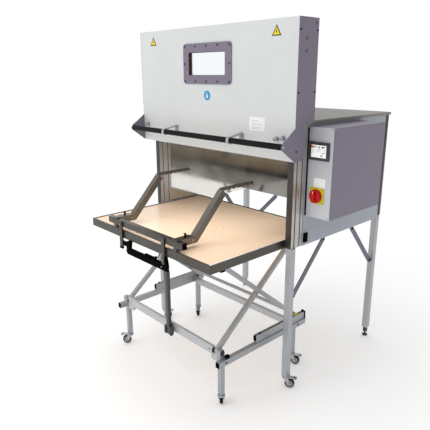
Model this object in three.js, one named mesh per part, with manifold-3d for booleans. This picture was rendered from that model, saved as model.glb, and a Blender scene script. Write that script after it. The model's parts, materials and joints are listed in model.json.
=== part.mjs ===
// A floor-standing batch oven with a vertical-lift door and a roll-in scissor-lift loading table.
// Millimetres, +Z up. X runs along the oven's width, Y from the operator's side to the rear.
// While it is built, x = 0 is the hood's left face, y = 0 its front and z = 0 the floor;
// at the end the whole group is moved so that its origin is the middle of its footprint.
import * as THREE from "three";
import { mergeVertices } from "three/addons/utils/BufferGeometryUtils.js";
import Module from "manifold-3d";

const wasm = await Module();
wasm.setup();

// ---------- driving dimensions ----------
const GAP = 0.3; // kept between pieces that touch
const SHEET = 2.7; // folded sheet metal
const TUBE = 40; // square leg tube
const TUBE_WALL = 3;

const HOOD = { width: 1330, depth: 1002, bottom: 955, railTop: 1055, roofUnder: 1685, roofTop: 1703 };
const WALL = { side: 46, rear: 30, ceiling: 85, overhang: 12 };
const POST = { width: 45, depth: 102, inset: 5, top: 2190 };
const MID_X = HOOD.width / 2;

const DOOR = { left: -44, right: 1369, front: -60, depth: 24, bottom: 1490, top: 2240, rear: 104 };
const CHEEK_STEP = [21, 1692]; // below this height the cheeks are narrower
const NOSE = { tip: [-177, 1583], under: [-168, 1566], root: [-60, 1674] };
const WINDOW = { x: 658.5, z: 2019, width: 337, height: 138, frame: 54, frameThick: 6, glassDepth: 12 };
const HANDLE = { y: -163, z: 1583, radius: 17, stub: 8, supports: [343, 969], face: 1600 };

const CABINET = { depth: 169, front: 118, rear: 660, bottom: 1145, top: 1670 };
const SCREEN_PANEL = { left: 1339, right: 1480, bottom: 1486, top: 1589, proud: 8 };
const SWITCH = { x: 1410, z: 1281, plate: 90, knob: 40, shaft: 5 };

const TABLE = { left: 57, right: 1273, front: -597, rear: 387, top: 1002, band: 52, rim: 9, board: 14 };
const ARM = { offset: 313, width: 40, bar: 40, foot: 1026, rackLength: 285, pitch: 40, notch: 14 };
const CROSSBAR = { reach: 384, front: -600, rear: -566, top: 1064 };
const STRAP = { at: [432, 878], width: 30, front: -609, bottom: 896 };
const PUSH = { left: 497, right: 912, bar: 38, leg: 30, bottom: 862, top: 949.5, front: -612, rear: -590 };

const CART = { legs: [165, 1165], front: -416, rear: 260, tube: 30, legTop: 350, railLow: 300, railTop: 337 };
const CART_ENDS = [-473, 335];
const FRONT_RAIL = { front: -444, rear: -424, low: 346, top: 400 };
const TRACK = { front: -150, rear: 330, height: 51, groove: 12 };
const LIFT = { low: 374, high: 932, front: -425, rear: 267, bar: 27, thick: 25, pin: 5 };
const SPRING = { x: 716, y: -461, radius: 12, rod: 7, low: 372, high: 765, eye: 335 };

const CASTER = { wheel: 32, width: 22, trail: 26, plate: 68, top: 79.7, axle: 4 };
const LEG_BOTTOM = 80;
const FOOT = { radius: 20, thick: 10, spindle: 6, collar: 17, legBottom: 72 };

// ---------- solids ----------
function solid(geometry) {
  const bare = geometry.index ? geometry.toNonIndexed() : geometry.clone();
  bare.deleteAttribute("normal");
  bare.deleteAttribute("uv");
  const merged = mergeVertices(bare, 1e-3);
  return new wasm.Manifold(
    new wasm.Mesh({
      numProp: 3,
      vertProperties: merged.attributes.position.array,
      triVerts: new Uint32Array(merged.index.array),
    }),
  );
}

function geometryOf(manifold) {
  const mesh = manifold.getMesh();
  const geometry = new THREE.BufferGeometry();
  geometry.setAttribute("position", new THREE.BufferAttribute(mesh.vertProperties, 3));
  geometry.setIndex(new THREE.BufferAttribute(mesh.triVerts, 1));
  geometry.computeVertexNormals();
  return geometry;
}

const join = (...pieces) => geometryOf(pieces.map(solid).reduce((a, b) => a.add(b)));
const cut = (piece, ...tools) => geometryOf(tools.map(solid).reduce((a, b) => a.subtract(b), solid(piece)));

// A block from its lowest to its highest corner.
function block([x0, x1], [y0, y1], [z0, z1]) {
  const box = new THREE.BoxGeometry(x1 - x0, y1 - y0, z1 - z0);
  return box.translate((x0 + x1) / 2, (y0 + y1) / 2, (z0 + z1) / 2);
}

// A round bar along one axis through the point given by the two other coordinates.
function round(axis, radius, [from, to], at, sides = 16) {
  const bar = new THREE.CylinderGeometry(radius, radius, to - from, sides);
  const middle = (from + to) / 2;
  if (axis === "x") return bar.rotateZ(-Math.PI / 2).translate(middle, at[0], at[1]);
  if (axis === "y") return bar.translate(at[0], middle, at[1]);
  return bar.rotateX(Math.PI / 2).translate(at[0], at[1], middle);
}

// A plate whose outline lies in the Y-Z plane.
function sidePlate(outline, [x0, x1]) {
  const shape = outline instanceof THREE.Shape ? outline : shapeOf(outline);
  const plate = new THREE.ExtrudeGeometry(shape, { depth: x1 - x0, bevelEnabled: false, curveSegments: 6 });
  const turn = new THREE.Matrix4().makeBasis(
    new THREE.Vector3(0, 1, 0),
    new THREE.Vector3(0, 0, 1),
    new THREE.Vector3(1, 0, 0),
  );
  return plate.applyMatrix4(turn).translate(x0, 0, 0);
}

// A plate whose outline lies in the X-Z plane.
function frontPlate(outline, [y0, y1]) {
  const shape = outline instanceof THREE.Shape ? outline : shapeOf(outline);
  const plate = new THREE.ExtrudeGeometry(shape, { depth: y1 - y0, bevelEnabled: false, curveSegments: 4 });
  return plate.rotateX(Math.PI / 2).translate(0, y1, 0);
}

const shapeOf = (points) => new THREE.Shape(points.map(([a, b]) => new THREE.Vector2(a, b)));

// A rectangle with rounded corners, centred on (x, z).
function roundedRectangle(x, z, width, height, radius) {
  const [left, right, low, high] = [x - width / 2, x + width / 2, z - height / 2, z + height / 2];
  const shape = new THREE.Shape();
  shape.absarc(right - radius, low + radius, radius, -Math.PI / 2, 0);
  shape.absarc(right - radius, high - radius, radius, 0, Math.PI / 2);
  shape.absarc(left + radius, high - radius, radius, Math.PI / 2, Math.PI);
  shape.absarc(left + radius, low + radius, radius, Math.PI, 1.5 * Math.PI);
  shape.closePath();
  return shape;
}

// A flat bar in the Y-Z plane with round ends on two pivots.
function link([ya, za], [yb, zb], width, span) {
  const angle = Math.atan2(zb - za, yb - ya);
  const shape = new THREE.Shape();
  shape.absarc(ya, za, width / 2, angle + Math.PI / 2, angle + 1.5 * Math.PI);
  shape.absarc(yb, zb, width / 2, angle - Math.PI / 2, angle + Math.PI / 2);
  shape.closePath();
  return sidePlate(shape, span);
}

// An upright square tube, open at both ends.
function uprightTube(x, y, [low, high], size = TUBE) {
  const half = size / 2;
  const bore = half - TUBE_WALL;
  return cut(
    block([x - half, x + half], [y - half, y + half], [low, high]),
    block([x - bore, x + bore], [y - bore, y + bore], [low - 1, high + 1]),
  );
}

const mirrorX = ([x0, x1]) => [HOOD.width - x1, HOOD.width - x0];

// ---------- finishes ----------
const finish = (color, roughness, metalness) => () =>
  new THREE.MeshStandardMaterial({ color, roughness, metalness });
const aluminium = finish(0xbec0c4, 0.45, 0.8);
const legAluminium = finish(0xd0d3d6, 0.5, 0.6);
const lightPaint = finish(0xd6d9d9, 0.5, 0.1);
const darkPaint = finish(0x766f80, 0.5, 0.1);
const bracePaint = finish(0x6e6c7a, 0.5, 0.3);
const railPaint = finish(0x9ba1aa, 0.5, 0.2);
const darkSteel = finish(0x64615c, 0.4, 0.8);
const stainless = finish(0x8a8782, 0.35, 0.9);
const roofPaint = finish(0x8f8e88, 0.6, 0.2);
const blackPlastic = finish(0x141414, 0.6, 0);
const foam = finish(0x1c1c1c, 0.9, 0);
const glass = finish(0xf4f4f4, 0.1, 0);
const yellow = finish(0xd7cd00, 0.5, 0);
const red = finish(0xb01010, 0.4, 0);
const peach = finish(0xeed0b4, 0.8, 0);
const zinc = finish(0xa8abae, 0.4, 0.8);
const greyRubber = finish(0x2a2c2e, 0.8, 0);

const oven = new THREE.Group();
function add(name, geometry, material) {
  const mesh = new THREE.Mesh(geometry, material());
  mesh.name = name;
  oven.add(mesh);
  return mesh;
}

// ---------- stand: legs, braces, base rails, guide posts ----------
function stand() {
  const near = TUBE / 2;
  const far = HOOD.width - near;
  const back = HOOD.depth - near;
  const top = HOOD.bottom - GAP;
  add("leg_front_left", uprightTube(near, near, [LEG_BOTTOM, top]), legAluminium);
  add("leg_front_right", uprightTube(far, near, [LEG_BOTTOM, top]), legAluminium);
  add("leg_rear_left", uprightTube(near, back, [FOOT.legBottom, top]), legAluminium);
  add("leg_rear_right", uprightTube(far, back, [FOOT.legBottom, top]), legAluminium);

  const railBack = HOOD.depth - TUBE;
  const rails = [[0, TUBE], mirrorX([0, TUBE])].map((span) =>
    block(span, [POST.depth + GAP, HOOD.depth], [HOOD.bottom, HOOD.railTop]),
  );
  const rearRail = block([0, HOOD.width], [railBack, HOOD.depth], [HOOD.bottom, HOOD.railTop]);
  add("base_frame", join(...rails, rearRail), railPaint);

  const grooveDepth = 6;
  const grooveHalf = 5;
  for (const [side, span] of [
    ["left", [POST.inset, POST.inset + POST.width]],
    ["right", mirrorX([POST.inset, POST.inset + POST.width])],
  ]) {
    const height = [HOOD.bottom, POST.top];
    const beyond = [HOOD.bottom - 1, POST.top + 1];
    const post = block(span, [0, POST.depth], height);
    const grooves = [span[0], span[1]].flatMap((x) =>
      [POST.depth * 0.27, POST.depth * 0.73].map((y) =>
        block([x - grooveDepth, x + grooveDepth], [y - grooveHalf, y + grooveHalf], beyond),
      ),
    );
    const bore = block([span[0] + 13, span[1] - 13], [14, POST.depth - 14], beyond);
    add(`door_post_${side}`, cut(post, ...grooves, bore), darkSteel);
  }
}

// Flat-bar braces from a leg up to the base rails, each in the plane of its side.
function braces() {
  const thick = 8;
  const wide = 34;
  const legZ = 632;
  const railZ = HOOD.bottom - GAP - wide / 2;
  const onSide = (ya, yb, x0) => link([ya, legZ], [yb, railZ], wide, [x0, x0 + thick]);
  const inRight = HOOD.width - 24;
  const rearStart = HOOD.depth - TUBE - GAP - wide / 2;
  const frontStart = TUBE + GAP + wide / 2;
  add("brace_right_rear", onSide(rearStart, 676, inRight), bracePaint);
  add("brace_right_front", onSide(frontStart, 344, inRight), bracePaint);
  add("brace_left_rear", onSide(rearStart, 721, 16), bracePaint);
  const across = onSide(0, 307, 0);
  const turned = across.applyMatrix4(
    new THREE.Matrix4().makeBasis(
      new THREE.Vector3(0, -1, 0),
      new THREE.Vector3(1, 0, 0),
      new THREE.Vector3(0, 0, 1),
    ),
  );
  add("brace_rear_left", turned.translate(TUBE + GAP + wide / 2, HOOD.depth - 14, 0), bracePaint);
}

// ---------- hood: sandwich panels, roof, stainless lining, heater, fan ----------
const FAN = { x: MID_X, y: 550, shaft: 8 };

function hood() {
  const behindPost = POST.depth + GAP;
  const wallLow = HOOD.railTop + GAP;
  const wallTop = HOOD.roofUnder - GAP;
  const ceiling = HOOD.roofUnder - WALL.ceiling;
  const inner = [POST.inset + POST.width + GAP, HOOD.width - POST.inset - POST.width - GAP];
  const shaftHole = round("z", FAN.shaft + 1, [ceiling - 10, ceiling + 45], [FAN.x, FAN.y]);
  const casing = join(
    block([0, WALL.side], [behindPost, HOOD.depth], [wallLow, wallTop]),
    block(mirrorX([0, WALL.side]), [behindPost, HOOD.depth], [wallLow, wallTop]),
    block([0, HOOD.width], [HOOD.depth - WALL.rear, HOOD.depth], [wallLow, wallTop]),
    block([0, HOOD.width], [behindPost, HOOD.depth], [ceiling, wallTop]),
    block(inner, [4, behindPost + 1], [ceiling, wallTop]),
  );
  add("casing", cut(casing, shaftHole), railPaint);

  const roof = join(
    block([-WALL.overhang, HOOD.width + WALL.overhang], [behindPost + 4, HOOD.depth + WALL.overhang],
      [HOOD.roofUnder, HOOD.roofTop]),
    block(inner, [2, behindPost + 10], [HOOD.roofUnder, HOOD.roofTop]),
  );
  add("roof_plate", roof, roofPaint);

  const x0 = WALL.side + GAP;
  const x1 = HOOD.width - x0;
  const y1 = HOOD.depth - TUBE - GAP;
  const low = HOOD.bottom + 2;
  const high = ceiling - GAP;
  const skin = 2;
  const lining = block([x0, x1], [behindPost, y1], [low, high]);
  const room = block([x0 + skin, x1 - skin], [behindPost - 1, y1 - skin], [low - 1, high - skin]);
  add("chamber_lining", cut(lining, room, shaftHole), stainless);
}

function heater() {
  const level = 1572;
  const rod = 5;
  const span = [150, HOOD.width - 150];
  const rows = [260, 400, 700, 840];
  const hangerTop = HOOD.roofUnder - WALL.ceiling - GAP - 2 - GAP;
  const pieces = rows.map((y) => round("x", rod, span, [y, level], 8));
  for (const x of span) {
    pieces.push(block([x - 6, x + 6], [rows[0] - 15, rows[3] + 15], [level - 8, level + 8]));
    for (const y of [rows[0], rows[3]]) {
      pieces.push(block([x - 4, x + 4], [y - 4, y + 4], [level, hangerTop]));
    }
  }
  add("heater_bank", join(...pieces), darkSteel);
}

function fan() {
  const radius = 110;
  const back = [1578, 1582];
  const blades = 8;
  const pieces = [
    round("z", radius, back, [0, 0], 32),
    round("z", FAN.shaft, [1530, 1640], [0, 0]),
    round("z", 22, [1530, 1579], [0, 0]),
  ];
  for (let i = 0; i < blades; i++) {
    const blade = block([15, radius - 6], [-2, 2], [1532, 1579]);
    pieces.push(blade.rotateZ((2 * Math.PI * i) / blades));
  }
  add("fan_impeller", join(...pieces), stainless).position.set(FAN.x, FAN.y, 0);
}

// ---------- lift door ----------
const windowHole = (grow, [y0, y1]) => {
  const corner = grow > SHEET ? 24 : 8 + grow;
  const size = [WINDOW.width + 2 * grow, WINDOW.height + 2 * grow];
  return frontPlate(roundedRectangle(WINDOW.x, WINDOW.z, ...size, corner), [y0, y1]);
};

function doorPanel() {
  const { left, right, front, depth, bottom, top } = DOOR;
  const back = front + depth;
  const pan = cut(
    block([left, right], [front, back], [bottom, top]),
    block([left + SHEET, right - SHEET], [front + SHEET, back + 1], [bottom + SHEET, top - SHEET]),
  );
  const tunnel = windowHole(SHEET, [front + 1, back]);
  add("door_panel", cut(join(pan, tunnel), windowHole(0, [front - 5, back + 5])), lightPaint);

  const inner = block([left, right], [back + GAP, back + GAP + SHEET], [bottom, top]);
  add("door_inner_sheet", cut(inner, windowHole(0, [back - 5, back + 9])), stainless);

  const frame = windowHole(WINDOW.frame, [front - GAP - WINDOW.frameThick, front - GAP]);
  add("window_frame", cut(frame, windowHole(0, [front - 20, front + 5])), darkPaint);
  const pane = front + WINDOW.glassDepth;
  add("window_glass", windowHole(-GAP, [pane, pane + 4]), glass);
}

function doorCheek(side) {
  const sign = side === "left" ? -1 : 1;
  const edge = side === "left" ? DOOR.left - GAP : DOOR.right + GAP;
  const outward = (near, far) => [edge + sign * near, edge + sign * far].sort((a, b) => a - b);
  const { front, bottom, top, rear } = DOOR;
  const outline = [
    [rear, top],
    [front, top],
    NOSE.root,
    [-114, 1635],
    [-161, 1605],
    NOSE.tip,
    NOSE.under,
    [front, bottom],
    [CHEEK_STEP[0], bottom + 3],
    CHEEK_STEP,
    [rear, CHEEK_STEP[1]],
  ];
  const flange = 34;
  const cheek = join(
    sidePlate(outline, outward(0, SHEET)),
    block(outward(-flange, 1), [rear - SHEET, rear], [CHEEK_STEP[1], top]),
    block(outward(-flange, 1), [front + DOOR.depth + 8, rear], [top - SHEET, top]),
  );
  add(`door_cheek_${side}`, cheek, darkPaint);
}

function doorHandle() {
  const { y, z, radius, stub, face } = HANDLE;
  const bar = join(
    round("x", radius, [-39, 1364], [y, z], 16),
    round("x", stub, [DOOR.left, DOOR.right], [y, z], 12),
  );
  add("handle_bar", bar, foam);
  HANDLE.supports.forEach((x, i) => {
    const span = [x - 10, x + 10];
    const ring = round("x", radius + 6, span, [y, z], 16);
    const run = DOOR.front - y - 4;
    const strip = block(span, [0, Math.hypot(run, face - z) + radius], [radius - 4, radius + 4]);
    strip.rotateX(Math.atan2(face - z, run)).translate(0, y, z);
    const flange = block([x - 16, x + 16], [DOOR.front - GAP - 5, DOOR.front - GAP], [face - 28, face + 18]);
    const clamp = cut(join(ring, strip, flange), round("x", radius + GAP, [x - 30, x + 30], [y, z], 16),
      block([x - 30, x + 30], [DOOR.front - GAP, 0], [face - 60, face + 60]));
    add(i ? "handle_support_right" : "handle_support_left", clamp, blackPlastic);
  });
}

// ---------- control cabinet ----------
function cabinet() {
  const x0 = HOOD.width + GAP;
  const x1 = HOOD.width + CABINET.depth;
  const { front, rear, bottom, top } = CABINET;
  const shell = cut(
    block([x0, x1], [front, rear], [bottom, top]),
    block([x0 + SHEET, x1 - SHEET], [front - 1, rear - SHEET], [bottom + SHEET, top - SHEET]),
  );
  add("control_cabinet", shell, darkPaint);

  const cover = [front - 4, front - GAP];
  const panel = block([x0, x1], cover, [bottom, top]);
  const hole = round("y", SWITCH.shaft + 0.8, [front - 30, front + 20], [SWITCH.x, SWITCH.z]);
  add("cabinet_front", cut(panel, hole), lightPaint);

  const face = cover[0] - GAP;
  const { left, right, proud } = SCREEN_PANEL;
  const width = right - left;
  const height = SCREEN_PANEL.top - SCREEN_PANEL.bottom;
  const middle = [(left + right) / 2, (SCREEN_PANEL.top + SCREEN_PANEL.bottom) / 2];
  const bezel = frontPlate(roundedRectangle(...middle, width, height, 5), [face - proud, face]);
  const recessed = [face - proud - 1, face - proud + 1];
  const recess = frontPlate(roundedRectangle(...middle, width - 40, height - 32, 2), recessed);
  add("screen_panel", cut(bezel, recess), greyRubber);

  const square = roundedRectangle(SWITCH.x, SWITCH.z, SWITCH.plate, SWITCH.plate, 4);
  const plate = frontPlate(square, [face - 10, face]);
  add("switch_plate", cut(plate, hole), yellow);

  const seat = face - 10 - GAP;
  const knob = join(
    round("y", SWITCH.knob, [seat - 22, seat], [0, 0], 32),
    block([-8, 8], [seat - 36, seat - 20], [-SWITCH.knob + 4, SWITCH.knob - 4]),
    round("y", SWITCH.shaft, [seat - 1, front + 40], [0, 0], 12),
  );
  add("switch_knob", knob, red).position.set(SWITCH.x, 0, SWITCH.z);
}

// ---------- casters and feet ----------
const CASTER_PLACES = [
  ["oven_left", TUBE / 2, TUBE / 2, 30],
  ["oven_right", HOOD.width - TUBE / 2, TUBE / 2, 30],
  ["cart_front_left", CART.legs[0], CART.front, 225],
  ["cart_front_right", CART.legs[1], CART.front, 135],
  ["cart_rear_left", CART.legs[0], CART.rear, 315],
  ["cart_rear_right", CART.legs[1], CART.rear, 25],
];

function caster(place, x, y, heading) {
  const { wheel, width, trail, plate, top, axle } = CASTER;
  const inside = width / 2 + 1.5;
  const cheekOutline = shapeOf([
    [-16, plate + 2],
    [trail - 9, wheel - 8],
    [trail + 9, wheel - 8],
    [18, plate + 2],
  ]);
  const cheek = (y0, y1) => frontPlate(cheekOutline, [y0, y1]);
  const fork = join(
    round("z", 22, [plate, top], [0, 0], 24),
    round("z", 6, [top - 1, top + 25], [0, 0], 12),
    cheek(inside, inside + 3),
    cheek(-inside - 3, -inside),
    round("y", axle, [-inside - 3, inside + 3], [trail, wheel], 12),
    block([18, trail + 40], [-13, 13], [plate + 3, plate + 8]),
  );
  const turn = THREE.MathUtils.degToRad(heading);
  const forkMesh = add(`caster_fork_${place}`, fork, zinc);
  forkMesh.position.set(x, y, 0);
  forkMesh.rotation.z = turn;

  const bore = axle + 0.6;
  const half = width / 2;
  const profile = [
    [bore, -half],
    [wheel - 5, -half],
    [wheel, -half + 4],
    [wheel, half - 4],
    [wheel - 5, half],
    [bore, half],
    [bore, -half],
  ].map(([r, h]) => new THREE.Vector2(r, h));
  const tyre = new THREE.LatheGeometry(profile, 24);
  const wheelMesh = add(`caster_wheel_${place}`, tyre, greyRubber);
  wheelMesh.position.set(x + trail * Math.cos(turn), y + trail * Math.sin(turn), wheel);
  wheelMesh.rotation.z = turn;
}

function levellingFoot(side, x) {
  const y = HOOD.depth - TUBE / 2;
  const foot = join(
    round("z", FOOT.radius, [0, FOOT.thick], [0, 0], 24),
    round("z", FOOT.spindle, [FOOT.thick - 1, FOOT.legBottom + 60], [0, 0], 12),
    round("z", FOOT.collar, [FOOT.thick + 24, FOOT.legBottom - GAP], [0, 0], 24),
  );
  add(`levelling_foot_${side}`, foot, zinc).position.set(x, y, 0);
}

// ---------- cart ----------
function cartSide(side, legX) {
  const sign = side === "left" ? 1 : -1;
  const across = (near, far) => [legX + sign * near, legX + sign * far].sort((a, b) => a - b);
  const half = CART.tube / 2;
  const { railLow, railTop, legTop } = CART;
  const trackTop = railTop + TRACK.height;
  const pieces = [
    block(across(-half - 30, 1 - half), CART_ENDS, [railLow, railTop]),
    uprightTube(legX, CART.front, [LEG_BOTTOM, legTop], CART.tube),
    uprightTube(legX, CART.rear, [LEG_BOTTOM, legTop], CART.tube),
    cut(
      block(across(-38, -half), [TRACK.front, TRACK.rear], [railTop - 1, trackTop]),
      block(
        across(-31, -half - 7),
        [TRACK.front - 1, TRACK.rear + 1],
        [trackTop - TRACK.groove, trackTop + 1],
      ),
    ),
    block(across(-half - 4, half - 1), [LIFT.front - 16, LIFT.front + 16], [legTop - 30, LIFT.low + 16]),
    round("x", LIFT.pin, across(half - 3, half + 2 + LIFT.thick), [LIFT.front, LIFT.low], 12),
  ];
  add(`cart_side_${side}`, join(...pieces), aluminium);
}

function cart() {
  CART.legs.forEach((legX, i) => cartSide(i ? "right" : "left", legX));
  const inner = [CART.legs[0] + CART.tube / 2 + GAP, CART.legs[1] - CART.tube / 2 - GAP];
  const { front, rear, low, top } = FRONT_RAIL;
  const clear = [inner[0] + 32, inner[1] - 32];
  const ends = [
    [inner[0], clear[0] + 30],
    [clear[1] - 30, inner[1]],
  ].map((span) => block(span, [rear - 4, rear + 19], [CART.railLow, low + 12]));
  add("cart_front_rail", join(block(clear, [front, rear], [low, top]), ...ends), aluminium);
  add("cart_rear_rail", block(inner, [232, 262], [292, 336]), aluminium);
}

// ---------- scissor lift ----------
// The rear arms run above the tracks, and the front arms beside them on their inboard side.
const REAR_ARM = [CART.legs[0] - 13, CART.legs[0] - 13 + LIFT.thick];
const FRONT_ARM = [REAR_ARM[1] + 4, REAR_ARM[1] + 4 + LIFT.thick];

function scissor() {
  const { low, high, front, rear, bar, pin } = LIFT;
  const hole = (y, z) => round("x", pin + 0.7, [0, HOOD.width], [y, z], 12);
  const pair = (name, a, b, span, tie, pivot) => {
    const bars = [span, mirrorX(span)].map((one) => cut(link(a, b, bar, one), hole(...pivot)));
    const between = [span[1] - 2, HOOD.width - span[1] + 2];
    add(name, join(...bars, round("x", 12, between, tie, 12)), aluminium);
  };
  const reach = 79;
  const rise = (reach * (high - low)) / (rear - front);
  const tieY = rear - reach;
  pair("scissor_front_arms", [front, low], [rear, high], FRONT_ARM, [tieY, high - rise], [front, low]);
  pair("scissor_rear_arms", [rear, low], [front, high], REAR_ARM, [tieY, low + rise], [front, high]);
}

function gasSpring() {
  const { x, y, radius, rod, low, high, eye } = SPRING;
  const bore = rod + 0.7;
  const blind = low + 150;
  const tube = cut(
    block([x - radius, x + radius], [y - radius, y + radius], [low, high]),
    round("z", bore, [blind, high + 1], [x, y], 24),
  );
  const lugs = [-30, 20].flatMap((at) => [
    block([x + at, x + at + 10], [y - 17, y + 17], [eye, low + 8]),
    round("x", 17, [x + at, x + at + 10], [y, eye], 16),
  ]);
  const foot = join(
    tube,
    ...lugs,
    round("x", 6, [x - 35, x + 35], [y, eye], 12),
    round("x", 13, [x - 12, x + 12], [y, eye], 12),
    block([x - 9, x + 9], [y - 9, y + 9], [eye, low + 8]),
    block([x - 30, x + 30], [y - 10, y + 10], [low + 4, low + 12]),
  );
  add("gas_spring_cylinder", foot, darkSteel);
  const head = TABLE.top - 46 - GAP;
  const piston = join(
    round("z", rod, [high - 100, head], [x, y], 16),
    round("z", 14, [head - 28, head], [x, y], 16),
  );
  add("gas_spring_rod", piston, zinc);
}

// ---------- table ----------
function table() {
  const { left, right, front, rear, top, band, rim, board } = TABLE;
  const low = top - band;
  const ring = cut(
    block([left, right], [front, rear], [low, top]),
    block([left + rim, right - rim], [front + rim, rear - rim], [low - 1, top + 1]),
  );
  const boardTop = top - 4;
  const underBoard = boardTop - board - GAP;
  const beamLow = top - 46;
  const { front: pivotY, high, pin } = LIFT;
  const lugSpan = [REAR_ARM[1] + 1, REAR_ARM[1] + 11];
  const pinSpan = [REAR_ARM[0], REAR_ARM[1] + 2];
  const runnerSpan = [FRONT_ARM[0] - 2, FRONT_ARM[1] + 2];
  const runnerLow = high + LIFT.bar / 2 + 1;
  const fittings = [(span) => span, mirrorX].flatMap((place) => [
    block(place(lugSpan), [pivotY - 18, pivotY + 18], [high - 18, beamLow + 1]),
    round("x", pin, place(pinSpan), [pivotY, high], 12),
    block(place(runnerSpan), [110, rear - rim + 2], [runnerLow, underBoard]),
  ]);
  const beam = block([left + rim - 2, right - rim + 2], [-484, -432], [beamLow, underBoard]);
  add("table_frame", join(ring, beam, ...fittings), darkSteel);
  const clear = rim + GAP;
  add(
    "table_board",
    block([left + clear, right - clear], [front + clear, rear - clear], [boardTop - board, boardTop]),
    peach,
  );
}

function supportArm(side, x) {
  const { bar, width, foot, rackLength, pitch, notch } = ARM;
  const rise = THREE.MathUtils.degToRad(47);
  const bend = -447;
  const start = CROSSBAR.rear + GAP;
  const elbow = [-215, foot + (-215 - bend) * Math.tan(rise)];
  const shift = bar * Math.tan(rise / 2);
  const outline = [
    [start, foot],
    [bend, foot],
    elbow,
    [elbow[0] - bar * Math.sin(rise), elbow[1] + bar * Math.cos(rise)],
    [bend - shift, foot + bar],
    [start, foot + bar],
  ];
  const rackLow = elbow[1] + 6;
  const rackFront = elbow[0] - 34;
  const rack = block([x - 5, x + 5], [rackFront, rackFront + rackLength], [rackLow + 10, rackLow + 32]);
  const notches = [];
  for (let y = rackFront + 50; y < rackFront + rackLength - notch; y += pitch) {
    notches.push(block([x - 9, x + 9], [y, y + notch], [rackLow, rackLow + 18]));
  }
  const clip = block([x - 25, x + 25], [CROSSBAR.front, bend - 30], [CROSSBAR.top + 1.9, CROSSBAR.top + 6]);
  const arm = join(sidePlate(outline, [x - width / 2, x + width / 2]), cut(rack, ...notches), clip);
  add(`support_arm_${side}`, arm, darkSteel);
}

function armFrame() {
  supportArm("left", MID_X - ARM.offset);
  supportArm("right", MID_X + ARM.offset);
  const { reach, front, rear, top } = CROSSBAR;
  const pieces = [block([MID_X - reach, MID_X + reach], [front, rear], [ARM.foot, top])];
  for (const [side, strapX] of STRAP.at.entries()) {
    const footX = MID_X + (side ? ARM.offset : -ARM.offset);
    const strapSpan = [strapX - STRAP.width / 2, strapX + STRAP.width / 2];
    pieces.push(
      block(strapSpan, [STRAP.front, TABLE.front - GAP], [STRAP.bottom, top - 2]),
      block([footX - 14, footX + 14], [TABLE.front, rear], [TABLE.top + GAP, ARM.foot + 1]),
    );
  }
  add("arm_crossbar", join(...pieces), darkSteel);
}

const LEVER = { pivotX: 786, z: 911, length: 94, hub: 7 };

function pushHandle() {
  const { left: x0, right: x1, bar, leg, bottom, top, front, rear } = PUSH;
  const barTop = bottom + bar;
  const outline = new THREE.Shape();
  const outerRadius = 16;
  outline.moveTo(x0 + 12, top);
  outline.lineTo(x0, barTop);
  outline.absarc(x0 + outerRadius, bottom + outerRadius, outerRadius, Math.PI, 1.5 * Math.PI);
  outline.absarc(x1 - outerRadius, bottom + outerRadius, outerRadius, 1.5 * Math.PI, 2 * Math.PI);
  outline.lineTo(x1, barTop);
  outline.lineTo(x1 - 12, top);
  outline.lineTo(x1 - 12 - leg, top);
  outline.lineTo(x1 - leg, barTop);
  outline.lineTo(x0 + leg, barTop);
  outline.lineTo(x0 + leg + 12, top);
  outline.closePath();
  const beside = STRAP.width / 2 + GAP;
  const pieces = [frontPlate(outline, [front, rear])];
  pieces.push(block([STRAP.at[0] + beside, x0 + 20], [STRAP.front + 1, TABLE.front - 1], [906, 936]));
  for (const ear of [
    [front, front + 5],
    [rear - 5, rear],
  ]) {
    pieces.push(block([LEVER.pivotX - 8, LEVER.pivotX + 8], ear, [barTop - 1, LEVER.z + 8]));
  }
  const middle = (front + rear) / 2;
  pieces.push(round("y", 3, [front + 1, rear - 1], [LEVER.pivotX, LEVER.z], 12));
  const strapSlot = block(
    [STRAP.at[1] - beside, STRAP.at[1] + beside],
    [front - 1, TABLE.front - GAP + 0.5],
    [STRAP.bottom - GAP, top + 1],
  );
  add("push_handle", cut(join(...pieces), strapSlot), blackPlastic);

  const { pivotX, z, length, hub } = LEVER;
  const blade = block([pivotX - length, pivotX], [middle - 5, middle + 5], [z - 3, z + 4]);
  const lever = cut(
    join(blade, round("y", hub, [middle - 5, middle + 5], [pivotX, z], 16)),
    round("y", 3.6, [middle - 9, middle + 9], [pivotX, z], 12),
  );
  add("release_lever", lever, blackPlastic);
}

// The release cable, in its sleeve from the handle up behind the table's front band to the spring's head.
function releaseCable() {
  const barTop = PUSH.bottom + PUSH.bar;
  const route = [
    [799, -599, barTop + 1.5],
    [800, -596, barTop + 12],
    [802, -585, 920],
    [804, -579, 932],
    [801, -569, 941],
    [790, -550, 943],
    [770, -528, 943],
    [744, -496, 942],
    [SPRING.x + 14 + GAP + 4, SPRING.y - 2, 940],
  ].map((p) => new THREE.Vector3(...p));
  const radius = 3.5;
  const section = new THREE.Shape();
  section.absarc(0, 0, radius, 0, 2 * Math.PI);
  const path = new THREE.CatmullRomCurve3(route, false, "centripetal");
  const sleeve = new THREE.ExtrudeGeometry(section, {
    steps: 20,
    curveSegments: 4,
    bevelEnabled: false,
    extrudePath: path,
  });
  add("release_cable", sleeve, blackPlastic);
}

// ---------- the whole oven ----------
stand();
braces();
hood();
heater();
fan();
doorPanel();
doorCheek("left");
doorCheek("right");
doorHandle();
cabinet();
CASTER_PLACES.forEach((place) => caster(...place));
levellingFoot("left", TUBE / 2);
levellingFoot("right", HOOD.width - TUBE / 2);
cart();
scissor();
gasSpring();
table();
armFrame();
pushHandle();
releaseCable();

// The origin is the middle of the footprint, on the floor.
const extent = new THREE.Box3().setFromObject(oven, true);
const centre = extent.getCenter(new THREE.Vector3());
oven.position.set(-centre.x, -centre.y, -extent.min.z);

const group = new THREE.Group();
group.add(oven);

export default group;
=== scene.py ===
import json
import math

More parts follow.
